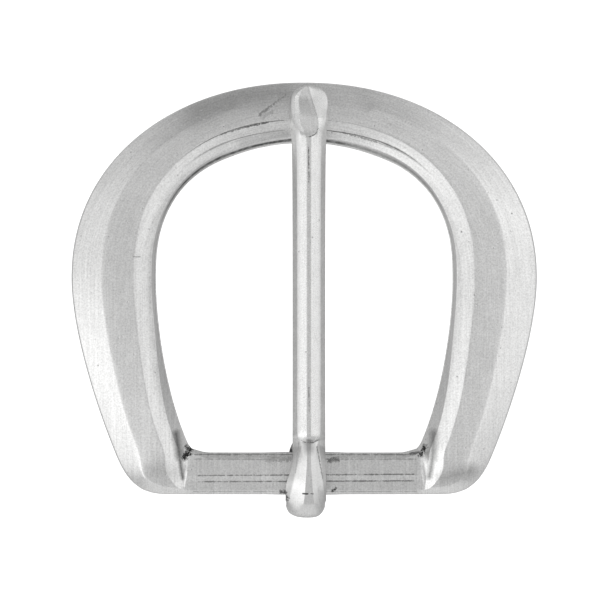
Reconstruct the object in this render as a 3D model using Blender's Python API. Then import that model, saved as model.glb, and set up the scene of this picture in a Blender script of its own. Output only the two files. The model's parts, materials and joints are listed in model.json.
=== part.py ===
"""A belt buckle with a heel bar, for a 38 mm strap: a cast frame and the prong that swings on its bar.

The buckle lies on its back, as on a table. +X runs along the heel bar, +Y from the bar to the bow where
the prong's tip rests, and +Z out of the face. Every shape is laid out with the bar's centre line at Y = 0
and the table at Z = 0, and both pieces are placed so that the origin is the whole buckle's bottom centre.
"""

import math

import bmesh
import bpy
from mathutils import Vector

MM = 0.001

# The frame, seen from the front.
STRAP_WIDTH = 38.0 * MM  # the strap that the heel bar carries
STRAP_PLAY = 1.2 * MM  # how much wider the gap between the arms is
FRAME_WIDTH = 77.5 * MM
FRAME_LENGTH = 68.8 * MM  # from the heel edge to the top of the bow
WIDEST_ABOVE_HEEL = 36.3 * MM  # where the frame is at its widest
ARM_WIDTH = 14.1 * MM  # an arm, at the widest place
BOW_WIDTH = 10.6 * MM  # the bow, at the top
HEEL_ARM_WIDTH = 12.3 * MM  # an arm, where its corner begins
BAR_WIDTH = 7.0 * MM
CORNER_RISE = 8.0 * MM  # how far above the heel edge the arm's outer edge turns into the corner
FILLET_RISE = 2.1 * MM  # the window's lower corners, above the bar
FILLET_RUN = 2.8 * MM  # and along it
HEEL_EDGE_RUN = 3.6 * MM  # how far past the window the heel edge stays straight
CHEEK_SET = 0.5 * MM  # how far past the window's side the bar meets the arm's cheek
WAIST_RUN = 8.8 * MM  # the curves' handles where the frame is widest
OUTER_POWER = 2.1  # 2 makes the bow an ellipse, and more makes it squarer
INNER_POWER = 2.5

# The frame, seen from the side.
BAR_THICKNESS = 3.2 * MM
BAR_RAISE = 0.9 * MM  # the bar's back, above the backs of the arms
BAR_WEAR = 0.06 * MM  # how deep the prong's eye has worn the bar's back
WEAR_MARGIN = 0.6 * MM  # how far the worn stretch runs past the eye on each side
WEAR_RUN_OUT = 1.0 * MM  # how far it takes to run out into the flat seats
ARM_THICKNESS = 5.0 * MM  # from the back to the crest of an arm
BOW_THICKNESS = 3.9 * MM
ARCH_RISE = 3.3 * MM  # how far the frame bows up between its two ends
RIM_THICKNESS = 2.0 * MM  # the outer edge, below its sloping face
LIP_HEIGHT = 1.4 * MM  # the inner lip's front edge, on the mould's parting line

# The prong.
PRONG_WIDTH = 5.5 * MM
PRONG_THICKNESS = 3.1 * MM
TIP_WIDTH = 6.4 * MM
TIP_THICKNESS = 1.3 * MM
TIP_SETBACK = 0.9 * MM  # from the top of the bow to the end of the tip
TOP_FLAT = 0.14  # the flat on the shank's top, as a share of its width
EYE_FLAT = 0.36  # and on the eye
SHOULDER_BOW = 0.35 * MM  # how far the shank's end bulges towards the eye
SHOULDER_RUN = 0.6 * MM  # how far the step at the shank's end slopes
SHOULDER_FOOT = 2.1 * MM  # the prong's thickness at the foot of that step
NECK_WALL = 2.7 * MM  # the hook's thickness where it rises again from the foot
SPOON_LENGTH = 8.6 * MM  # the hollow on the tip
SPOON_DEPTH = 0.35 * MM
SWELL_RUN = 4.0 * MM  # how far before the hollow the shank starts to swell
TAPER_RUN = 1.5 * MM  # and how far before it the shank starts to thin
TIP_DROP = 1.3 * MM  # how far the tip bends down past the bow's crest
PRONG_OFFSET = 0.78 * MM  # how far right of the middle the prong hangs on its bar
EYE_WIDTH = 6.8 * MM
HOOK_SLEW = 0.6 * MM  # how far the closed hook stands left of the shank
EYE_SLACK = 1.2 * MM  # how much longer the eye's hole is than it is deep
EYE_FRONT_WALL = 1.6 * MM
EYE_HEEL_WALL = 2.4 * MM
EYE_BACK_WALL = 1.4 * MM
EYE_END_WALL = 1.3 * MM
HOOK_END_WIDTH = 5.0 * MM  # the hook narrows to its end
ROOT_RISE = 0.66  # how far up the eye the shank's underside meets it, as a share of its half depth
SEAM_SPARE = 0.2 * MM  # beyond the seam's gap, for the corner of the hook's end

EYE_CLEARANCE = 0.3 * MM  # between the bar's furthest edge and the eye, at any angle
REST_GAP = 0.3 * MM  # between the prong and the bow that it rests on
SEAM_GAP = 0.3 * MM  # between the hook's end and the shank that it is closed against

# How finely the castings are stepped.
BOW_STEPS = 20
ARM_STEPS = 13
CORNER_STEPS = 15
BAR_STEPS = 4
SHANK_STEPS = 12
SPOON_STEPS = 12
HOOK_STEPS = 34


# The cross-sections of the frame. Each goes round from the outer edge, over the front, to the inner lip
# and back along the underside. A point is its share of the way from the outer to the inner outline and
# its height above the underside. The bar's front is highest near the heel and slopes to the window.
BAR_SECTION = [
    (0.000, 0.42 * BAR_THICKNESS),  # outer edge
    (0.020, 0.54 * BAR_THICKNESS),  # end of the edge's rounding
    (0.100, 0.84 * BAR_THICKNESS),  # the heel face's upper edge, where the arm's faces have all run out
    (0.112, 0.865 * BAR_THICKNESS),
    (0.124, 0.88 * BAR_THICKNESS),
    (0.136, 0.89 * BAR_THICKNESS),
    (0.340, 0.97 * BAR_THICKNESS),  # lower edge of the ridge
    (0.500, 1.00 * BAR_THICKNESS),  # upper edge of the ridge
    (0.885, 0.76 * BAR_THICKNESS),
    (0.965, 0.56 * BAR_THICKNESS),
    (1.000, 0.40 * BAR_THICKNESS),  # inner lip
    (0.998, 0.28 * BAR_THICKNESS),
    (0.945, 0.07 * BAR_THICKNESS),
    (0.870, 0.0),
    (0.130, 0.0),
    (0.055, 0.07 * BAR_THICKNESS),
    (0.006, 0.26 * BAR_THICKNESS),
]


def cast_section(facet, crest, ledge, wall, thickness, facet_drop, ledge_drop, wall_drop):
    """A section of the bow or of an arm: outer face, broad middle face, inner face and inner wall."""
    wall_height = thickness - wall_drop
    wall_points = [
        (wall + (0.985 - wall) * k / 4, wall_height + (LIP_HEIGHT - wall_height) * k / 4) for k in range(5)
    ]
    return [
        (0.000, 0.58 * RIM_THICKNESS),
        (0.014, RIM_THICKNESS),
        (facet, thickness - facet_drop),
        (crest, thickness),
        (ledge, thickness - ledge_drop),
        *wall_points,
        (1.000, LIP_HEIGHT - 0.15 * MM),
        (0.998, 0.5 * LIP_HEIGHT),
        (0.965, 0.12 * MM),
        (0.910, 0.0),
        (0.090, 0.0),
        (0.035, 0.12 * MM),
        (0.006, 0.30 * RIM_THICKNESS),
    ]


HEEL_SECTION = cast_section(0.315, 0.660, 0.755, 0.850, ARM_THICKNESS, 0.40 * MM, 0.45 * MM, 0.90 * MM)
ARM_SECTION = cast_section(0.360, 0.742, 0.850, 0.955, ARM_THICKNESS, 0.40 * MM, 0.45 * MM, 0.90 * MM)
BOW_SECTION = cast_section(0.300, 0.630, 0.790, 0.900, BOW_THICKNESS, 0.80 * MM, 0.40 * MM, 0.95 * MM)
FACET, CREST, LEDGE, WALL = 2, 3, 4, 5  # places in a section

# What follows from the sizes above.
HEEL_Y = -BAR_WIDTH / 2
TOP_Y = HEEL_Y + FRAME_LENGTH
WIDEST_Y = HEEL_Y + WIDEST_ABOVE_HEEL
HALF_OPENING = (STRAP_WIDTH + STRAP_PLAY) / 2
BAR_REACH = max(
    math.hypot(BAR_WIDTH * (share - 0.5), height - BAR_THICKNESS / 2) for share, height in BAR_SECTION
)
EYE_HALF_DEPTH = BAR_REACH + EYE_CLEARANCE
EYE_HALF_LENGTH = EYE_HALF_DEPTH + EYE_SLACK
AXIS_Z = EYE_HALF_DEPTH + EYE_BACK_WALL  # the eye's back lies on the table
BAR_BACK_Z = AXIS_Z - BAR_THICKNESS / 2
HEEL_BACK_Z = BAR_BACK_Z - BAR_RAISE
ORIGIN_Y = (TOP_Y - EYE_HALF_LENGTH - EYE_HEEL_WALL) / 2


def mix(a, b, share):
    return a + (b - a) * share


def ease(share):
    """0 to 1 with level ends."""
    share = min(max(share, 0.0), 1.0)
    return share * share * (3 - 2 * share)


def bezier(points, t):
    """The point at t on a cubic curve with these four control points."""
    a, b, c, d = (Vector(p) for p in points)
    return a * (1 - t) ** 3 + b * 3 * t * (1 - t) ** 2 + c * 3 * t * t * (1 - t) + d * t**3


def mix_sections(first, second, share):
    return [(mix(a[0], b[0], share), mix(a[1], b[1], share)) for a, b in zip(first, second)]


def underside_z(y):
    """The backs of the bow and the arms: on the table at the top of the bow, and arched up from there."""
    t = (y - HEEL_Y) / FRAME_LENGTH
    return HEEL_BACK_Z * (1 - t) + 4 * ARCH_RISE * t * (1 - t)


def bow_stations():
    """(outer point, inner point, section, share of the bar's level back) from the widest place to the top."""
    found = []
    for k in range(BOW_STEPS + 1):
        turn = math.pi / 2 * k / BOW_STEPS
        cosine, sine = max(math.cos(turn), 0.0), math.sin(turn)
        outer, inner = (
            Vector((width * cosine ** (2 / power), WIDEST_Y + height * sine ** (2 / power)))
            for width, height, power in (
                (FRAME_WIDTH / 2, TOP_Y - WIDEST_Y, OUTER_POWER),
                (FRAME_WIDTH / 2 - ARM_WIDTH, TOP_Y - WIDEST_Y - BOW_WIDTH, INNER_POWER),
            )
        )
        found.append((outer, inner, mix_sections(ARM_SECTION, BOW_SECTION, sine**4), 0.0))
    return found


OUTER_CORNER = (HALF_OPENING + HEEL_ARM_WIDTH, HEEL_Y + CORNER_RISE)
INNER_CORNER = (HALF_OPENING, HEEL_Y + BAR_WIDTH + FILLET_RISE)
HEEL_FLAT_X = HALF_OPENING + HEEL_EDGE_RUN  # where the corner runs out into the straight heel edge
BAR_END_X = HALF_OPENING + CHEEK_SET  # where the bar's front meets the arm, at the heel edge


def arm_stations():
    """From the corner, up the arm, to just below the widest place."""
    outer_curve = [
        OUTER_CORNER,
        (OUTER_CORNER[0] + 2.7 * MM, OUTER_CORNER[1] + 6.8 * MM),
        (FRAME_WIDTH / 2, WIDEST_Y - WAIST_RUN),
        (FRAME_WIDTH / 2, WIDEST_Y),
    ]
    inner_curve = [
        INNER_CORNER,
        (INNER_CORNER[0] + 3.0 * MM, INNER_CORNER[1] + 6.9 * MM),
        (FRAME_WIDTH / 2 - ARM_WIDTH, WIDEST_Y - WAIST_RUN),
        (FRAME_WIDTH / 2 - ARM_WIDTH, WIDEST_Y),
    ]
    found = []
    for k in range(ARM_STEPS):
        t = k / ARM_STEPS
        section = mix_sections(HEEL_SECTION, ARM_SECTION, ease(1.3 * t))
        found.append((bezier(outer_curve, t), bezier(inner_curve, t), section, 0.0))
    return found


def inner_fillet(t):
    """The window's lower corner: 0 on the arm, 1 on the bar."""
    foot = (INNER_CORNER[0] - FILLET_RUN, HEEL_Y + BAR_WIDTH)
    curve = [
        INNER_CORNER,
        (INNER_CORNER[0] - 0.5 * MM, INNER_CORNER[1] - 1.3 * MM),
        (foot[0] + 1.5 * MM, foot[1]),
        foot,
    ]
    return bezier(curve, t)


FILLET_SHARE = 0.45  # how much of the window's corner belongs to the arm


CORNER_TURN = 0.48  # how far round the corner the outer face turns sharply along the heel
TURN_RUN_OUT = 0.60  # how much of its width it has lost there


def corner_run_out(place, s):
    """How far a point of the arm's section has moved to its place on the bar's. The broad face narrows
    along the heel and the inner face ends in a point, where the inner wall has become the bar's front."""
    if place <= FACET:
        past = max(0.0, (s - CORNER_TURN) / (1 - CORNER_TURN))
        return TURN_RUN_OUT * ease(s / CORNER_TURN) ** 1.6 + (1 - TURN_RUN_OUT) * past**2
    if place == CREST:
        return ease(s**1.7)
    if place == LEDGE:
        return (ease(s**1.7) + s**4.2) / 2
    return s**4.2


def corner_stations():
    """Round the heel corner, in rays from the window's corner. The inner wall opens into a cheek that
    stands over the bar's end."""
    curve = [
        OUTER_CORNER,
        (OUTER_CORNER[0] - 1.6 * MM, OUTER_CORNER[1] - 4.3 * MM),
        (HEEL_FLAT_X + 5.4 * MM, HEEL_Y),
        (HEEL_FLAT_X, HEEL_Y),
    ]
    curve_share = 0.75
    found = []
    for k in range(CORNER_STEPS + 1):
        s = 1 - (1 - k / CORNER_STEPS) ** 1.5
        if s < curve_share:
            outer = bezier(curve, s / curve_share)
        else:
            outer = Vector((mix(HEEL_FLAT_X, BAR_END_X, (s - curve_share) / (1 - curve_share)), HEEL_Y))
        section = []
        for place, (heel, bar) in enumerate(zip(HEEL_SECTION, BAR_SECTION)):
            share = mix(heel[0], bar[0], corner_run_out(place, s))
            section.append((share, mix(heel[1], bar[1], s**3)))
        found.append((outer, inner_fillet(FILLET_SHARE * s), section, s**3))
    return found


def bar_stations():
    """From the middle of the heel bar to just short of the cheek: the stretch worn by the eye, then the
    strap's seat, whose back is flat."""
    worn_end = PRONG_OFFSET + EYE_WIDTH / 2 + WEAR_MARGIN
    worn_section = [(share, max(height, BAR_WEAR)) for share, height in BAR_SECTION]
    seat_xs = [mix(worn_end + WEAR_RUN_OUT, BAR_END_X, k / BAR_STEPS) for k in range(BAR_STEPS)]
    foot_x = inner_fillet(1.0).x
    found = []
    for x in [0.0, worn_end, *seat_xs]:
        inner = Vector((x, HEEL_Y + BAR_WIDTH))
        if x > foot_x:
            inner = inner_fillet(mix(1.0, FILLET_SHARE, (x - foot_x) / (BAR_END_X - foot_x)))
        section = worn_section if x <= worn_end else BAR_SECTION
        found.append((Vector((x, HEEL_Y)), inner, section, 1.0))
    return found


def station_points(outer, inner, section, level, side):
    """The section's points in space. level is 1 where the underside is the bar's level back."""
    points = []
    for share, height in section:
        x, y = mix(outer.x, inner.x, share), mix(outer.y, inner.y, share)
        back = mix(underside_z(y), BAR_BACK_Z, level)
        points.append(Vector((side * x, y, back + height)))
    return points


def loft(name, sections, origin, closed):
    """An object whose surface runs through these sections, capped at its ends unless they close in a ring."""
    mesh = bmesh.new()
    rings = [[mesh.verts.new(point - origin) for point in section] for section in sections]
    pairs = list(zip(rings, rings[1:]))
    if closed:
        pairs.append((rings[-1], rings[0]))
    for first, second in pairs:
        for k in range(len(first)):
            n = (k + 1) % len(first)
            mesh.faces.new((first[k], first[n], second[n], second[k]))
    if not closed:
        mesh.faces.new(rings[0][::-1])
        mesh.faces.new(rings[-1])
    bmesh.ops.triangulate(mesh, faces=[f for f in mesh.faces if len(f.verts) == 4], quad_method="SHORT_EDGE")
    if mesh.calc_volume(signed=True) < 0:
        bmesh.ops.reverse_faces(mesh, faces=mesh.faces)
    data = bpy.data.meshes.new(name)
    mesh.to_mesh(data)
    mesh.free()
    data.shade_smooth()
    data.set_sharp_from_angle(angle=math.radians(25))
    thing = bpy.data.objects.new(name, data)
    thing.location = origin - Vector((0, ORIGIN_Y, 0))
    bpy.context.scene.collection.objects.link(thing)
    return thing


def make_frame():
    """The frame and its heel bar are one casting: a ring of sections round the window."""
    half = [*bar_stations(), *corner_stations()[::-1], *arm_stations()[1:], *bow_stations()]
    right = [station_points(*station, 1) for station in half]
    left = [station_points(*station, -1) for station in half[1:-1]]
    return loft("frame", right + left[::-1], origin=Vector((0, 0, 0)), closed=True)


def bow_front_z(y):
    """The height of the bow's front at the middle of the buckle, at this distance from the bar."""
    front = [(TOP_Y - BOW_WIDTH * share, height) for share, height in BOW_SECTION[1 : WALL + 1]]
    place = next(k for k in range(1, len(front)) if front[k][0] <= y)
    (y0, h0), (y1, h1) = front[place - 1 : place + 1]
    return underside_z(y) + mix(h0, h1, (y - y0) / (y1 - y0))


TIP_Y = TOP_Y - TIP_SETBACK
CREST_Y = TOP_Y - BOW_WIDTH * BOW_SECTION[CREST][0]
SPOON_Y = TIP_Y - SPOON_LENGTH
ROOT_Y = EYE_HALF_LENGTH + EYE_END_WALL  # where the shank leaves the eye
ROOT_Z = AXIS_Z + ROOT_RISE * EYE_HALF_DEPTH  # the shank's underside there
ROOT_TURN = math.degrees(math.asin(ROOT_RISE))
TIP_ROUND = 0.5 * TIP_WIDTH  # the radius of the tip's end


def shank_bottom_z(y):
    """The shank's underside: straight from the eye to just over the bow's crest, then bent down."""
    crest_z = bow_front_z(CREST_Y) + REST_GAP
    straight = mix(ROOT_Z, crest_z, (y - ROOT_Y) / (CREST_Y - ROOT_Y))
    past = max(0.0, (y - CREST_Y) / (TIP_Y - CREST_Y))
    return straight - TIP_DROP * past**1.6


def shank_thickness(y):
    taper = min(max((y - SPOON_Y + TAPER_RUN) / (TIP_Y - SPOON_Y), 0.0), 1.0)
    return mix(PRONG_THICKNESS, TIP_THICKNESS, ease(taper * 0.8) / ease(0.8))


def shank_width(y):
    """The shank swells into the tip, which ends in a half circle."""
    swollen = (y - SPOON_Y + SWELL_RUN) / (SPOON_LENGTH - TIP_ROUND + SWELL_RUN)
    past = max(0.0, (y - (TIP_Y - TIP_ROUND)) / TIP_ROUND)
    return mix(PRONG_WIDTH, TIP_WIDTH, ease(swollen)) * math.sqrt(max(1 - past * past, 0.03))


def prong_section(width, thickness, parting, roof, eave, flat=TOP_FLAT, spoon=0.0):
    """(across, out) points of the prong: flat underside, sides drawn in from the parting line, and a roof
    of two faces with a flat on top. roof and flat are shares of the width, eave is the height at which the
    roof starts, and spoon turns it into a shallow hollow with a rim."""
    half = width / 2
    shoulder = mix(roof, 0.9, spoon)
    dip = SPOON_DEPTH / thickness * spoon
    right = [
        (0.62 * half, 0.0),
        (0.90 * half, 0.30 * parting * thickness),
        (half, parting * thickness),
        (shoulder * half, mix(eave, 0.97, spoon) * thickness),
        (mix(flat, shoulder, 0.6) * half, (mix(mix(eave, 1.0, 0.45), 1.0, spoon) - 0.4 * dip) * thickness),
        (flat * half, (1.0 - dip) * thickness),
    ]
    return right + [(-across, out) for across, out in reversed(right)]


def shank_points(section, y, bow):
    """An upright section of the shank in space. bow is how far its middle bulges towards the eye."""
    bottom = shank_bottom_z(y)
    return [Vector((x, y - bow * (1 - (2 * x / PRONG_WIDTH) ** 2), bottom + out)) for x, out in section]


def shank_sections():
    """From the end of the tip back to the shoulder where the shank meets the eye."""
    found = []
    spoon_ys = [mix(TIP_Y, SPOON_Y, 1 - math.cos(math.pi / 2 * k / SPOON_STEPS)) for k in range(SPOON_STEPS)]
    shank_ys = [mix(SPOON_Y, ROOT_Y, k / SHANK_STEPS) for k in range(SHANK_STEPS + 1)]
    for y in spoon_ys + shank_ys:
        spoon = ease((y - SPOON_Y) / (0.35 * SPOON_LENGTH))
        section = prong_section(shank_width(y), shank_thickness(y), 0.40, 0.70, 0.72, spoon=spoon)
        found.append(shank_points(section, y, SHOULDER_BOW if y == ROOT_Y else 0.0))
    foot = prong_section(PRONG_WIDTH, SHOULDER_FOOT, 0.25, 0.55, 0.84)
    found.append(shank_points(foot, ROOT_Y - SHOULDER_RUN, SHOULDER_BOW))
    return found


def hook_wall(turn):
    """The hook's thickness, by the angle round the bar: 90 is the front, 180 the heel and 270 the back."""
    stops = [
        (ROOT_TURN, NECK_WALL),
        (90, EYE_FRONT_WALL),
        (180, EYE_HEEL_WALL),
        (270, EYE_BACK_WALL),
        (400, EYE_END_WALL),
    ]
    for (t0, w0), (t1, w1) in zip(stops, stops[1:]):
        if turn <= t1:
            return mix(w0, w1, ease((turn - t0) / (t1 - t0)))
    return EYE_END_WALL


def hook_end_turn():
    """The angle at which the hook's end stops short of the shank's underside."""
    turn = 400.0
    while turn > 300.0:
        a = math.radians(turn)
        reach = EYE_HALF_DEPTH + EYE_END_WALL
        if AXIS_Z + reach * math.sin(a) < ROOT_Z - SEAM_GAP - SEAM_SPARE:
            break
        turn -= 0.5
    return turn


def hook_sections():
    """Round the bar from the shoulder. The inner surface is the eye's oval hole."""
    first_turn = ROOT_TURN + 6.0
    end_turn = hook_end_turn()
    found = []
    for k in range(HOOK_STEPS + 1):
        turn = mix(first_turn, end_turn, k / HOOK_STEPS)
        a = math.radians(turn)
        y, z = EYE_HALF_LENGTH * math.cos(a), AXIS_Z + EYE_HALF_DEPTH * math.sin(a)
        out = Vector((math.cos(a) / EYE_HALF_LENGTH, math.sin(a) / EYE_HALF_DEPTH)).normalized()
        neck = ease((turn - first_turn) / (180 - first_turn))
        tail = ease((turn - 270) / (end_turn - 270))
        width = mix(mix(PRONG_WIDTH, EYE_WIDTH, ease(2 * neck)), HOOK_END_WIDTH, tail)
        wall = hook_wall(turn)
        slew = HOOK_SLEW * ease(2 * neck) * (1 - tail)
        parting, roof, eave = mix(0.25, 0.10, neck), mix(0.50, 0.76, neck), mix(0.84, 0.58, neck)
        section = prong_section(width, wall, parting, roof, eave, mix(TOP_FLAT, EYE_FLAT, neck))
        section = [(x - slew * (1 - n / wall), n) for x, n in section]
        found.append([Vector((x, y + out[0] * n, z + out[1] * n)) for x, n in section])
    return found


def make_prong():
    """The prong is one casting, with its origin on its hinge: its hook was closed round the heel bar."""
    hinge = Vector((0, 0, AXIS_Z))
    prong = loft("prong", shank_sections() + hook_sections(), origin=hinge, closed=False)
    prong.location.x += PRONG_OFFSET
    return prong


def metal(name, colour, roughness):
    material = bpy.data.materials.new(name)
    material.use_nodes = True
    shader = material.node_tree.nodes["Principled BSDF"]
    shader.inputs["Base Color"].default_value = (*colour, 1.0)
    shader.inputs["Metallic"].default_value = 1.0
    shader.inputs["Roughness"].default_value = roughness
    return material


def main():
    for old in list(bpy.data.objects):
        bpy.data.objects.remove(old)
    frame = make_frame()
    frame.data.materials.append(metal("satin_nickel_frame", (0.66, 0.66, 0.65), 0.32))
    prong = make_prong()
    prong.data.materials.append(metal("polished_nickel_prong", (0.72, 0.72, 0.71), 0.24))


main()
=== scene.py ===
import json
import math

import bmesh
import bpy
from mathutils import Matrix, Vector

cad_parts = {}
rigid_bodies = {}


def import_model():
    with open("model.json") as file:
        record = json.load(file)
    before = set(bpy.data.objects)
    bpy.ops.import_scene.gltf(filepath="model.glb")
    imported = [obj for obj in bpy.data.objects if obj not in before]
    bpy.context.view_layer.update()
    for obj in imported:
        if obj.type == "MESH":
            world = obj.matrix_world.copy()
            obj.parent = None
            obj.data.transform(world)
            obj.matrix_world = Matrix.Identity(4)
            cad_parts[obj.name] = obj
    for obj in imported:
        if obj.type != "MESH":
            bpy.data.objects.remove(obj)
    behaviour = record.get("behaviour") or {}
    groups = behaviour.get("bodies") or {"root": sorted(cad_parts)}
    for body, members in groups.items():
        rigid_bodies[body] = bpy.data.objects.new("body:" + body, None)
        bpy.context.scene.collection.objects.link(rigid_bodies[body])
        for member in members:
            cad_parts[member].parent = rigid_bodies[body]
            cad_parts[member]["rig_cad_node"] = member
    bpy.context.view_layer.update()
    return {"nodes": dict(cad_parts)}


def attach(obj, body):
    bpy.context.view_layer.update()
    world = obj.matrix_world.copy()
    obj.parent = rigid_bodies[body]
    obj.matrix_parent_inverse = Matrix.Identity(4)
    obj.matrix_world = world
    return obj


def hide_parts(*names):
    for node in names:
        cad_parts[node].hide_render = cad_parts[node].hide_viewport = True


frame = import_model()

MM = 0.001


# --- Frame ----------------------------------------------------------------------------------
# The horseshoe-shaped frame and its heel bar are one zinc alloy casting. It is ground and
# polished on its facets, plated with nickel, then dipped in a dark stain that is rubbed off
# again, and stays in the recesses, the pits and the scratches.
MERGE_DISTANCE = 0.001 * MM
FACET_ANGLE = math.radians(11)  # a sharper line than this is the meeting of two facets
FACET_ROUND = 7  # how far the polishing rounds a facet's edge, in percent of the facet
GROOVE_WIDTH = 0.22 * MM
GROOVE_DEPTH = 0.10 * MM
STROKE_BREAKS = 3.6  # how strongly a noise breaks up each stroke, of stain and of painted shade
STAIN_AND_SHADE_DARK = 0.95  # how much of the light the thickest stain and painted shade take
SATIN_COLOUR = (0.77, 0.77, 0.765)
SATIN_ROUGHNESS = 0.30
SATIN_GRAIN = 1.0

# From here on, places on a piece are in mm.
BOW_CENTRE_Y = 4.0  # the bow's curves are drawn about this height
BAR_RIDGE_Y = -29.62
CREST = (1.6, 29.68, 5.34)  # a point on the bow's crest
LEDGE = (1.6, 28.0, 5.25)  # and one on the ledge inside it
CREST_STAIN_RIGHT = 0.30  # the crest holds less on the right of the prong
LEDGE_STAIN_LEFT = 0.7  # and the ledge less on the left
WALL_LINES = (
    # a point on each line along the window's wall, and how much stain and painted shade the line
    # holds
    ((1.6, 26.59, 4.57), 0.5),
    ((1.6, 26.37, 4.18), 1.0),
    ((1.6, 26.14, 3.79), 0.85),
)


def ease(start, end, value):
    """0 before start, 1 past end, smooth between. It falls with value where start is the greater."""
    share = min(max((value - start) / (end - start), 0.0), 1.0)
    return share * share * (3 - 2 * share)


def copy_of(node, name):
    """A copy of a node of the assembly, its loose triangles merged and paired into faces."""
    bpy.ops.object.select_all(action="DESELECT")
    solid = frame["nodes"][node]
    solid.select_set(True)
    bpy.context.view_layer.objects.active = solid
    bpy.ops.object.duplicate()
    piece = bpy.context.object
    piece.name = name
    piece.data.name = name
    del piece["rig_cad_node"]
    bpy.ops.object.mode_set(mode="EDIT")
    bpy.ops.mesh.select_all(action="SELECT")
    bpy.ops.mesh.remove_doubles(threshold=MERGE_DISTANCE)
    bpy.ops.mesh.tris_convert_to_quads(
        face_threshold=math.pi, shape_threshold=math.pi, topology_influence=2
    )
    mesh = bmesh.from_edit_mesh(piece.data)
    # This layer holds the stain in the grooves and the painted shade on the steep walls, for the
    # material to darken by.
    mesh.verts.layers.float.new("stain_and_shade")
    bmesh.update_edit_mesh(piece.data)
    return piece


def middle_of(edge):
    return (edge.verts[0].co + edge.verts[1].co) / 2


def pick_line(piece, point, kept):
    """Selects the line of edges that passes nearest to a point, where kept(place) says so."""
    bpy.ops.mesh.select_mode(type="EDGE")
    bpy.ops.mesh.select_all(action="DESELECT")
    mesh = bmesh.from_edit_mesh(piece.data)
    spot = Vector(point) * MM
    nearest = min(mesh.edges, key=lambda edge: (middle_of(edge) - spot).length)
    nearest.select = True
    bmesh.update_edit_mesh(piece.data)
    bpy.ops.mesh.loop_multi_select(ring=False)
    mesh = bmesh.from_edit_mesh(piece.data)
    for edge in mesh.edges:
        if edge.select and not kept(middle_of(edge) / MM):
            edge.select = False
    bmesh.update_edit_mesh(piece.data)


def stain_and_shade_line(piece, amount, fade):
    """Marks the selected line as holding an amount of stain and painted shade, times fade(place),
    which is 0 to 1.
    """
    mesh = bmesh.from_edit_mesh(piece.data)
    stain_and_shade = mesh.verts.layers.float["stain_and_shade"]
    for vertex in mesh.verts:
        if vertex.select:
            vertex[stain_and_shade] = max(vertex[stain_and_shade], amount * fade(vertex.co / MM))
    bmesh.update_edit_mesh(piece.data)


def cut_groove(piece, strength):
    """Sinks the selected line into a fine groove that holds stain. strength(place) is 0 to 1."""
    bpy.ops.mesh.bevel(offset=GROOVE_WIDTH / 2, segments=2, affect="EDGES")
    bpy.ops.mesh.select_mode(type="VERT")
    bpy.ops.mesh.select_less()
    mesh = bmesh.from_edit_mesh(piece.data)
    stain_and_shade = mesh.verts.layers.float["stain_and_shade"]
    for vertex in mesh.verts:
        if vertex.select:
            share = strength(vertex.co / MM)
            vertex.co -= vertex.normal * GROOVE_DEPTH * share
            vertex[stain_and_shade] = share
    bmesh.update_edit_mesh(piece.data)


def round_facets(piece, kept):
    """Softens the lines between the facets, where kept(place, direction) says so of a line."""
    bpy.ops.mesh.select_mode(type="EDGE")
    bpy.ops.mesh.select_all(action="DESELECT")
    bpy.ops.mesh.edges_select_sharp(sharpness=FACET_ANGLE)
    mesh = bmesh.from_edit_mesh(piece.data)
    for edge in mesh.edges:
        along = edge.verts[1].co - edge.verts[0].co
        if edge.select and not kept(middle_of(edge) / MM, along.normalized()):
            edge.select = False
    bmesh.update_edit_mesh(piece.data)
    bpy.ops.mesh.bevel(offset_type="PERCENT", offset_pct=FACET_ROUND, segments=2, affect="EDGES")


def paint_shade_on_walls(piece, amount):
    """Marks the steep faces with painted shade, by amount(normal, place)."""
    mesh = bmesh.from_edit_mesh(piece.data)
    stain_and_shade = mesh.verts.layers.float["stain_and_shade"]
    for face in mesh.faces:
        share = amount(face.normal, face.calc_center_median() / MM)
        for vertex in face.verts:
            vertex[stain_and_shade] = max(vertex[stain_and_shade], share)
    bmesh.update_edit_mesh(piece.data)


def finish_surface(piece):
    bpy.ops.object.mode_set(mode="OBJECT")
    finer = piece.modifiers.new("finer", "SUBSURF")
    finer.levels = 2
    finer.render_levels = 2
    bpy.ops.object.modifier_apply(modifier=finer.name)
    bpy.ops.object.shade_smooth()


def plate(piece, metal):
    piece.data.materials.clear()
    piece.data.materials.append(metal)


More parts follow.
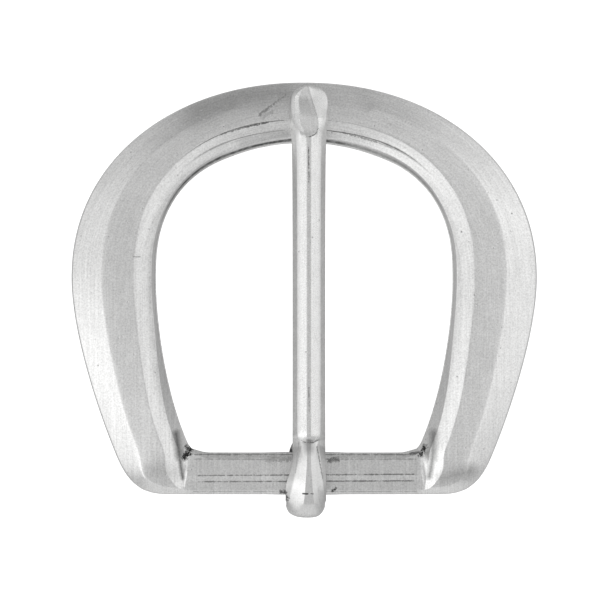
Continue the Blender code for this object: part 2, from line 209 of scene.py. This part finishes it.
class Tone:
    """A value that varies over a surface. Arithmetic on tones adds the maths nodes."""

    def __init__(self, tree, socket=None):
        self.tree = tree
        self.socket = socket

    def add(self, kind, settings=None, sockets=None, output=0):
        """Any one node: its settings, then the values or tones of its sockets."""
        node = self.tree.nodes.new(kind)
        for name, value in (settings or {}).items():
            setattr(node, name, value)
        for name, value in (sockets or {}).items():
            if isinstance(value, Tone):
                self.tree.links.new(value.socket, node.inputs[name])
            else:
                node.inputs[name].default_value = value
        return Tone(self.tree, node.outputs[output])

    def maths(self, operation, *values):
        return self.add("ShaderNodeMath", {"operation": operation}, dict(enumerate(values)))

    def __add__(self, other):
        return self.maths("ADD", self, other)

    __radd__ = __add__

    def __mul__(self, other):
        return self.maths("MULTIPLY", self, other)

    __rmul__ = __mul__

    def __sub__(self, other):
        return self.maths("SUBTRACT", self, other)

    def __rsub__(self, other):
        return self.maths("SUBTRACT", other, self)

    def __pow__(self, other):
        return self.maths("POWER", self, other)

    def __abs__(self):
        return self.maths("ABSOLUTE", self)

    def least(self, other):
        """The lesser of the two at each place."""
        return self.maths("MINIMUM", self, other)

    def most(self, other):
        """The greater of the two at each place."""
        return self.maths("MAXIMUM", self, other)

    def ramp(self, low, high):
        """0 below low, 1 above high, smooth between."""
        settings = {"interpolation_type": "SMOOTHSTEP"}
        return self.add("ShaderNodeMapRange", settings, {0: self, 1: low, 2: high})

    def noise(self, scale, detail, roughness=0.5):
        """Soft noise about 0, where this is a place. scale is in cells for each unit of it."""
        sockets = {"Vector": self, "Scale": scale, "Detail": detail, "Roughness": roughness}
        return self.add("ShaderNodeTexNoise", None, sockets) - 0.5

    def parts(self):
        """The three parts of a place."""
        node = self.add("ShaderNodeSeparateXYZ", None, {0: self}).socket.node
        return [Tone(self.tree, socket) for socket in node.outputs]

    def stroke(self, start, end, width):
        """1 on the straight line between two points of the plan, falling to 0 at width from it."""
        x, y, _ = self.parts()
        a, b = Vector(start), Vector(end)
        along, length = (b - a).normalized(), (b - a).length
        run = (x - a.x) * along.x + (y - a.y) * along.y
        run = run.most(0.0).least(length)
        off_x, off_y = x - (run * along.x + a.x), y - (run * along.y + a.y)
        near = 1 - (off_x * off_x + off_y * off_y) ** 0.5 * (1 / width)
        return near.most(0.0)

    def broken(self, strokes, breaks):
        """The strongest of many strokes, each (start, end, width, strength), broken by a noise."""
        marks = 0.0
        for start, end, width, strength in strokes:
            mark = (self.stroke(start, end, width) * (1 + breaks * STROKE_BREAKS)).ramp(0.40, 0.90)
            marks = (mark * strength).most(marks)
        return marks


def plated_metal(name, colour, roughness, grain, polish_lines, front_stain_and_shade):
    """Nickel plate with its polishing lines, grain and pits, the stain that was never rubbed off,
    and painted shade: in the piece's recesses and steep faces, and on its front by a function of
    place."""
    material = bpy.data.materials.new(name)
    material.use_nodes = True
    tree = material.node_tree
    shader = tree.nodes["Principled BSDF"]
    start = Tone(tree)
    place = start.add("ShaderNodeTexCoord", output=3)
    per_mm = {"Vector": place, "Scale": (1 / MM, 1 / MM, 1 / MM)}
    place = place.add("ShaderNodeMapping", None, per_mm)
    recess_stain_and_shade = start.add("ShaderNodeAttribute", {"attribute_name": "stain_and_shade"}, output=2)
    front = start.add("ShaderNodeTexCoord", output=1).parts()[2].ramp(-0.1, 0.1)

    fine = place.noise(3.6, 3.0, 0.65)
    cloud = place.noise(0.35, 3.0, 0.6)
    lines = polish_lines(place)
    cells = {"Vector": place, "Scale": 0.8, "Randomness": 1.0}
    from_pit = place.add("ShaderNodeTexVoronoi", None, cells)
    pits = (1 - from_pit.ramp(0.05, 0.17)) * place.noise(0.5, 1.0).ramp(0.0, 0.2)
    patchy = place.noise(1.3, 3.0, 0.7).ramp(-0.16, 0.10)
    # Stain and painted shade from the attribute, broken into patches, then the front's stain and
    # painted shade, and the pits.
    stain_and_painted_shade = recess_stain_and_shade * (0.72 + 0.28 * patchy)
    stain_and_painted_shade = stain_and_painted_shade.most(front_stain_and_shade(place) * front).most(pits * 0.5)

    tone = 1 + fine * (0.85 * grain) + cloud * 0.16 + lines * (0.42 * grain)
    tone = tone * (1 - stain_and_painted_shade * STAIN_AND_SHADE_DARK)
    tinted = tone.add("ShaderNodeVectorMath", {"operation": "SCALE"}, {0: colour, "Scale": tone})
    tree.links.new(tinted.socket, shader.inputs["Base Color"])
    rough = (fine * 0.06 + cloud * 0.05 + roughness) + stain_and_painted_shade * 0.25
    tree.links.new(rough.socket, shader.inputs["Roughness"])
    height = fine * 0.009 + lines * 0.007 - pits * 0.05 - stain_and_painted_shade * 0.02
    bump = height.add("ShaderNodeBump", None, {"Strength": 1.0, "Distance": MM, "Height": height})
    tree.links.new(bump.socket, shader.inputs["Normal"])
    shader.inputs["Metallic"].default_value = 1.0
    return material


def bow_polish(place):
    """Fine lines that follow the bow and the arms, as the polishing wheel left them."""
    x, y, _ = place.parts()
    above = (y - BOW_CENTRE_Y).most(0.0)
    round_bow = (x * x + above * above * 1.35) ** 0.5
    across = place.add("ShaderNodeCombineXYZ", None, {0: round_bow * 4.5, 1: x * 0.10, 2: y * 0.12})
    return across.noise(1.0, 3.0, 0.6)


def frame_stain_and_shade(place):
    """Stain in the window's corners and the lines of the bar, a scratch, and painted shade: on the
    cheeks, in patches on the bow and the corners, over the bar, down the left arm, and partly beside
    the prong's eye.
    """
    x, y, _ = place.parts()
    specks = place.noise(2.8, 4.0, 0.8)
    marks = place.broken(
        (
            ((-7.4, 30.8), (-5.2, 32.6), 0.66, 0.62),  # the scratch on the bow
            ((-5.6, 32.3), (-3.2, 34.1), 0.60, 0.50),
            ((-6.8, 30.4), (-5.4, 31.2), 1.00, 0.32),
            ((-6.0, 29.50), (-10.2, 28.62), 0.40, 0.80),  # stain along the bow's crest
            ((-10.2, 28.62), (-13.9, 27.45), 0.36, 0.62),
            ((6.5, 27.80), (12.1, 26.20), 0.34, 0.60),  # and along its ledge
            ((12.1, 26.20), (15.0, 25.00), 0.28, 0.40),
            ((-19.9, -26.2), (-18.7, -24.6), 1.20, 1.0),  # the window's corners
            ((-19.6, -24.4), (-18.9, -25.6), 0.80, 1.0),
            ((19.4, -25.8), (20.1, -24.4), 1.05, 1.0),
            ((17.6, -25.6), (19.6, -25.3), 0.45, 0.80),
            ((4.1, -26.7), (5.6, -26.5), 0.95, 0.60),  # stain and painted shade beside the prong's eye, where it meets the bar
            ((4.7, -31.8), (5.3, -31.3), 0.55, 0.80),
            ((-6.0, -26.6), (-2.6, -26.5), 1.10, 0.36),
            ((-3.8, -31.9), (-2.5, -32.1), 0.90, 0.75),
            ((-28.3, 7.1), (-27.2, 7.1), 0.20, 0.5),  # a nick on the left arm
        ),
        specks,
    )
    lines = place.broken(
        (
            ((-18.2, -25.75), (18.5, -25.75), 0.30, 0.55),  # the bar's edges and its two grooves
            ((-18.2, -26.50), (18.5, -26.50), 0.32, 0.30),
            ((-17.6, -29.22), (18.2, -29.00), 0.27, 0.62),
            ((-17.6, -30.24), (18.2, -30.08), 0.27, 0.62),
            ((-18.4, -31.88), (18.6, -31.88), 0.26, 0.28),
        ),
        place.noise(1.1, 4.0, 0.85),
    )
    painted_shades = 0.0
    for start, end, width, amount in (
        ((-21.3, -22.2), (-20.7, -26.2), 1.0, 0.75),  # painted shade on the cheeks, beside the bar
        ((-20.7, -26.2), (-20.2, -29.6), 0.6, 0.75),
        ((21.5, -22.2), (21.3, -26.2), 1.2, 0.62),
        ((21.3, -26.2), (20.8, -29.4), 0.75, 0.62),
        ((-17.5, 31.6), (-11.5, 33.6), 4.2, 0.34),  # patches of painted shade on the bow
        ((-10.0, 33.8), (-3.2, 34.6), 3.2, 0.34),
        ((-10.0, 26.1), (-3.0, 27.3), 1.7, 0.22),
        ((-25.0, -28.2), (-21.5, -28.8), 2.0, 0.20),  # and on the corners
        ((23.2, -29.6), (27.8, -28.4), 1.8, 0.38),
    ):
        painted_patch = place.stroke(start, end, width) * amount * (1 + specks * 0.9)
        painted_shades = painted_patch.most(painted_shades)
    # Painted shade over the bar, lighter on its ridge and darker to the right, and on the outer left
    # arm below the bow.
    bar = (1 - abs(x).ramp(18.6, 20.2)) * (1 - y.ramp(-26.2, -25.6))
    off_ridge = abs(y - BAR_RIDGE_Y).ramp(0.35, 0.6)
    painted_shade_bar = bar * (0.03 + off_ridge * 0.07 + x.ramp(-6.0, 8.0) * 0.05)
    painted_shade_arm = (1 - x.ramp(-29.0, -26.0)) * (1 - y.ramp(10.0, 26.0)) * 0.07
    return marks.most(lines).most(painted_shades) + (painted_shade_bar + painted_shade_arm)


def painted_wall_shade(normal, place):
    """Painted shade on the window's wall, which is steep and faces the window's middle. The shade
    ends below the bow.
    """
    inward = -(normal.x * place.x + normal.y * (place.y - 2.0))
    if inward < 0:
        return 0.0
    side = 0.30 if place.x < 0 else 0.20
    steep = ease(0.60, 0.30, abs(normal.z))
    return side * steep * ease(1.5, 2.2, place.z) * ease(28.0, 18.0, place.y)


def wall_line_fade(place):
    """The lines along the wall fade out down the arms, and are fainter right of the prong."""
    return ease(8.0, 20.0, place.y) * (1 - 0.4 * ease(4.0, 9.0, place.x))


def crest_strength(place):
    return ease(22.0, 27.5, place.y) * (1.0 if place.x < 0 else CREST_STAIN_RIGHT)


def ledge_strength(place):
    return ease(20.0, 25.5, place.y) * (LEDGE_STAIN_LEFT if place.x < 0 else 1.0)


def on_bow(place):
    return place.y > 8


def beside_tip(place):
    return place.y > 18 and abs(place.x) > 2.0


def true_bow(piece):
    """Brings the bow's crest and the window's top edge to their places, flatter than an ellipse."""
    mesh = bmesh.from_edit_mesh(piece.data)
    for vertex in mesh.verts:
        x, y = vertex.co.x / MM, vertex.co.y / MM
        reach = math.hypot(x, 1.162 * (y - BOW_CENTRE_Y))
        lip_share = 1 - ease(26.2, 29.6, reach)
        lip = 0.32 * (1 - ease(2.5, 7.5, abs(x))) - 0.38 * ease(6.5, 13.0, abs(x))
        up = lip * lip_share + 0.25 * (1 - lip_share)
        vertex.co.y += up * (1 - ease(30.0, 36.5, reach)) * ease(4.0, 16.0, y) * MM
    bmesh.update_edit_mesh(piece.data)


casting = copy_of("frame", "frame_casting")
# Stain and painted shade along the lines of the window's wall.
for point, amount in WALL_LINES:
    pick_line(casting, point, on_bow)
    stain_and_shade_line(casting, amount, wall_line_fade)
# Painted shade on the window's steep wall.
paint_shade_on_walls(casting, painted_wall_shade)
round_facets(casting, lambda place, along: True)
pick_line(casting, CREST, beside_tip)
cut_groove(casting, crest_strength)
pick_line(casting, LEDGE, beside_tip)
cut_groove(casting, ledge_strength)
true_bow(casting)
finish_surface(casting)
satin_nickel = plated_metal(
    "satin_nickel", SATIN_COLOUR, SATIN_ROUGHNESS, SATIN_GRAIN, bow_polish, frame_stain_and_shade
)
plate(casting, satin_nickel)
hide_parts("frame")
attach(casting, "frame")


# --- Prong ----------------------------------------------------------------------------------
# The prong is cast in the same alloy with its hook open, and the hook is closed round the bar
# with a press. Its faces are ground lengthwise, so it is brighter than the frame, and a seam
# of stain stays along the middle of the shank.
PRONG_X = 0.78  # the middle of the prong
EYE_START_Y = -23.9  # where the shank ends and the eye begins
EYE_CENTRE = (-28.9, 5.3)  # the eye's middle, along Y and Z
LOOP_FILL_Y, LOOP_END_Y = -34.2, -36.3  # the stretch of the loop that is filled out
DISH_START, DISH_END = 26.9, 35.5  # the hollow on the tip
DISH_DEPTH = 0.20 * MM
TIP_ROUND = 3.2  # how far before its end the tip begins to close
TIP_POWER = 2.8  # 2 would close it as an ellipse, and more is blunter
POLISHED_COLOUR = (0.79, 0.79, 0.785)
POLISHED_ROUGHNESS = 0.26
POLISHED_GRAIN = 0.55


def prong_polish(place):
    """Fine lines along the prong."""
    x, y, z = place.parts()
    across = place.add("ShaderNodeCombineXYZ", None, {0: x * 5.0, 1: y * 0.35, 2: z * 1.2})
    return across.noise(1.0, 3.0, 0.6)


def prong_stain_and_shade(place):
    """The seam along the shank, a painted shadow under the step at its end, stain and painted shade
    where the hook meets the bar, and painted shade on the eye's sides, over the eye and down the
    prong's right side.
    """
    x, y, _ = place.parts()
    marks = place.broken(
        (
            ((0.9, 27.0), (1.9, 27.5), 0.24, 0.75),  # the lower edge of the hollow
            ((1.9, 27.5), (2.3, 28.4), 0.20, 0.60),
            ((0.2, 26.9), (0.9, 27.0), 0.24, 0.40),
            ((0.72, 25.2), (0.80, 19.5), 0.30, 0.75),  # the seam
            ((0.80, 19.5), (0.78, -14.5), 0.22, 0.22),
            ((0.78, -14.5), (0.80, -18.5), 0.28, 0.60),
            ((-0.6, -23.25), (0.2, -23.6), 0.26, 0.60),  # painted shadow under the step
            ((0.2, -23.6), (1.5, -23.65), 0.30, 0.75),
            ((1.5, -23.65), (2.35, -23.15), 0.26, 0.60),
            ((-0.2, -32.1), (0.65, -32.1), 0.32, 0.90),  # a nick on the eye
            ((1.1, -32.1), (1.5, -32.1), 0.28, 0.80),
            ((-2.3, -24.7), (-2.1, -26.0), 0.60, 0.85),  # stain and painted shade beside the bar, where the hook meets it
            ((-3.4, -31.5), (-2.8, -33.0), 0.85, 0.75),
            ((-0.9, -23.6), (-1.45, -28.6), 0.24, 0.42),  # the outer lines of the eye's faces
            ((2.1, -24.3), (3.1, -29.8), 0.28, 0.50),
        ),
        place.noise(1.9, 4.0, 0.8),
    )
    # Painted shade in the valley below the step.
    painted_shade_under_step = place.stroke((0.85, -23.9), (0.85, -24.6), 1.4) * 0.40
    eye = 1 - y.ramp(-24.6, -23.6)
    across = x - PRONG_X
    # Painted shade on the eye's steep sides.
    left_wall = (-1.98 - across - (y + 28.4) * -0.24).ramp(0.0, 0.35)
    right_wall = (across - 1.95 - (y + 28.4) * -0.10).ramp(0.0, 0.35)
    painted_eye_sides = left_wall.most(right_wall) * eye * 0.30
    # Painted shade over the eye and down the prong's right side.
    painted_eye_shade = eye * 0.10 + across.ramp(0.3, 0.9) * 0.05
    return marks.most(painted_shade_under_step).most(painted_eye_sides) + painted_eye_shade


def widen(vertex, share):
    """Sets a corner's distance from the middle of the prong to a share of what it was."""
    vertex.co.x = PRONG_X * MM + (vertex.co.x - PRONG_X * MM) * share


def dish_sides(along):
    """The hollow's left and right edges, as shares of the tip's half width. along is 0 at the
    hollow's start and 1 at its end. It lies left of the middle."""
    left = -(0.14 + 0.63 * ease(0.0, 0.22, along)) * (1 - 0.35 * ease(0.8, 1.0, along))
    right = 0.14 + 0.40 * ease(0.0, 0.15, along) - 0.50 * ease(0.2, 1.0, along)
    return left, right


def shape_tip(piece):
    """Makes the tip's end blunter, and grinds its hollow with a narrow rim on the left and a
    broad flank on the right."""
    mesh = bmesh.from_edit_mesh(piece.data)
    rows = {}
    for vertex in mesh.verts:
        if vertex.co.y > (DISH_START + 0.5) * MM:
            rows.setdefault(round(vertex.co.y / MM, 2), []).append(vertex)
    for row_y, row in rows.items():
        past = min(max((row_y - DISH_END + TIP_ROUND) / TIP_ROUND, 0.0), 1.0)
        blunt = max(1 - past**TIP_POWER, 0.03) ** (1 / TIP_POWER)
        for vertex in row:
            widen(vertex, blunt / max(1 - past**2, 0.03) ** 0.5)
        half = max(abs(vertex.co.x - PRONG_X * MM) for vertex in row)
        low, high = min(vertex.co.z for vertex in row), max(vertex.co.z for vertex in row)
        # The front's six corners, from left to right: the rim, the hollow's four, the flank.
        front = sorted(row, key=lambda vertex: vertex.co.z)[-6:]
        front.sort(key=lambda vertex: vertex.co.x)
        along = (row_y - DISH_START) / (DISH_END - DISH_START)
        left, right = dish_sides(along)
        edge = 0.72 + 0.21 * ease(0.0, 0.4, along)
        across = (-edge, left, 0.75 * left + 0.25 * right, 0.25 * left + 0.75 * right, right, edge)
        rim = 0.73 + 0.09 * ease(0.1, 0.5, along)
        flank = 0.74 - 0.24 * ease(0.1, 0.7, along)
        for vertex, share, height in zip(front, across, (rim, 1.0, 1.0, 1.0, 1.0, flank)):
            vertex.co.x = PRONG_X * MM + share * half
            vertex.co.z = low + (high - low) * height
        for vertex in front[2:4]:
            vertex.co.z -= DISH_DEPTH * (1 - ease(0.75, 1.0, along))
    bmesh.update_edit_mesh(piece.data)


def shape_eye(piece):
    """Draws the lines on the eye's front in towards its middle, and fills out the loop's lower
    left."""
    mesh = bmesh.from_edit_mesh(piece.data)
    mesh.normal_update()
    centre_y, centre_z = EYE_CENTRE
    for vertex in mesh.verts:
        y, z = vertex.co.y / MM, vertex.co.z / MM
        out = Vector((0, y - centre_y, z - centre_z)).normalized()
        if y < EYE_START_Y and z > 6.2 and vertex.normal.dot(out) > 0.45:
            widen(vertex, 1 - 0.24 * ease(EYE_START_Y, -26.0, y) * ease(-34.8, -32.6, y))
        if y < LOOP_FILL_Y and vertex.co.x < PRONG_X * MM:
            widen(vertex, 1 + 0.42 * ease(LOOP_FILL_Y, LOOP_END_Y, y))
    bmesh.update_edit_mesh(piece.data)


def prong_facets(place, along):
    """The long lines of the shank and of the eye, and the step between, but not the hook's end."""
    if place.y < -33.5 or (place.z < 7.0 and place.y < -20):
        return False
    return abs(along.x) < 0.7 or place.y > -23.8


def prong_painted_shade(normal, place):
    """Painted shade on the steep sides of the shank and of the eye, and on the hook's end under the
    shank.
    """
    if place.y > -27.0 and place.z < 4.6 and place.y < -18.0:
        return 0.60
    steep = ease(0.55, 0.8, abs(normal.x))
    return steep * (0.30 if place.y < -23.5 else 0.22)


prong = copy_of("prong", "prong_casting")
shape_tip(prong)
shape_eye(prong)
# Painted shade on the prong's steep sides and on the hook's end.
paint_shade_on_walls(prong, prong_painted_shade)
round_facets(prong, prong_facets)
finish_surface(prong)
polished_nickel = plated_metal(
    "polished_nickel", POLISHED_COLOUR, POLISHED_ROUGHNESS, POLISHED_GRAIN, prong_polish, prong_stain_and_shade
)
plate(prong, polished_nickel)
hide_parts("prong")
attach(prong, "prong")


# --- Studio ---------------------------------------------------------------------------------
# The buckle lies on white paper in a light tent, and a long lens looks straight down on it.
# The tent is an even glow with lighter and darker patches, which the facets mirror.
PAPER_SIZE = 3.0
PAPER_SHADE = 0.85
PAPER_GLOW = 0.8
TENT_GLOW = 0.595
TENT_PATCHES = (
    # the way to its middle, its spread and the softness of its edge in degrees, and its light
    ((-1, 0, 0.75), 30, 20, 0.38),
    ((1, 0, 0.75), 30, 20, 0.41),
    ((-0.85, -0.6, 0.45), 22, 20, 0.56),
    ((0.8, -0.7, 0.45), 22, 20, 0.06),
    ((-0.15, 1, 0.45), 14, 14, -0.22),
    ((0, -1, -0.2), 24, 20, 0.24),
    ((0.75, 0.75, 0.45), 16, 16, 0.30),
    ((-0.75, 0.75, 0.45), 14, 14, 0.14),
    ((-0.5, -0.25, 0.87), 12, 10, 0.34),
    ((0.3, 0.8, 0.85), 14, 12, 0.16),
)
VIEW_WIDTH = 100 * MM
VIEW_CENTRE = (-0.7 * MM, -0.05 * MM, 4 * MM)
LENS = 300
SENSOR = 36

bpy.ops.object.select_all(action="DESELECT")
bpy.ops.mesh.primitive_plane_add(size=PAPER_SIZE)
floor = bpy.context.object
floor.name = "floor"
paper = bpy.data.materials.new("white_paper")
paper.use_nodes = True
shader = paper.node_tree.nodes["Principled BSDF"]
shader.inputs["Base Color"].default_value = (PAPER_SHADE, PAPER_SHADE, PAPER_SHADE, 1)
shader.inputs["Roughness"].default_value = 0.9
shader.inputs["Emission Color"].default_value = (1, 1, 1, 1)
shader.inputs["Emission Strength"].default_value = PAPER_GLOW
floor.data.materials.append(paper)
floor.visible_glossy = False

world = bpy.data.worlds.new("light_tent")
bpy.context.scene.world = world
world.use_nodes = True
x, y, z = Tone(world.node_tree).add("ShaderNodeTexCoord", output=0).parts()
glow = TENT_GLOW
for middle, spread, soft, light in TENT_PATCHES:
    aim = Vector(middle).normalized()
    near = x * aim.x + y * aim.y + z * aim.z
    outer, inner = math.radians(spread + soft), math.radians(spread - soft)
    glow = glow + near.ramp(math.cos(outer), math.cos(inner)) * light
back = world.node_tree.nodes["Background"]
world.node_tree.links.new(glow.socket, back.inputs["Color"])

bpy.context.scene.view_settings.view_transform = "Standard"

bpy.ops.object.camera_add()
camera = bpy.context.object
camera.data.lens = LENS
camera.data.sensor_width = SENSOR
camera.location = Vector(VIEW_CENTRE) + Vector((0, 0, VIEW_WIDTH * LENS / SENSOR))
camera.data.clip_end = 10
bpy.context.scene.camera = camera
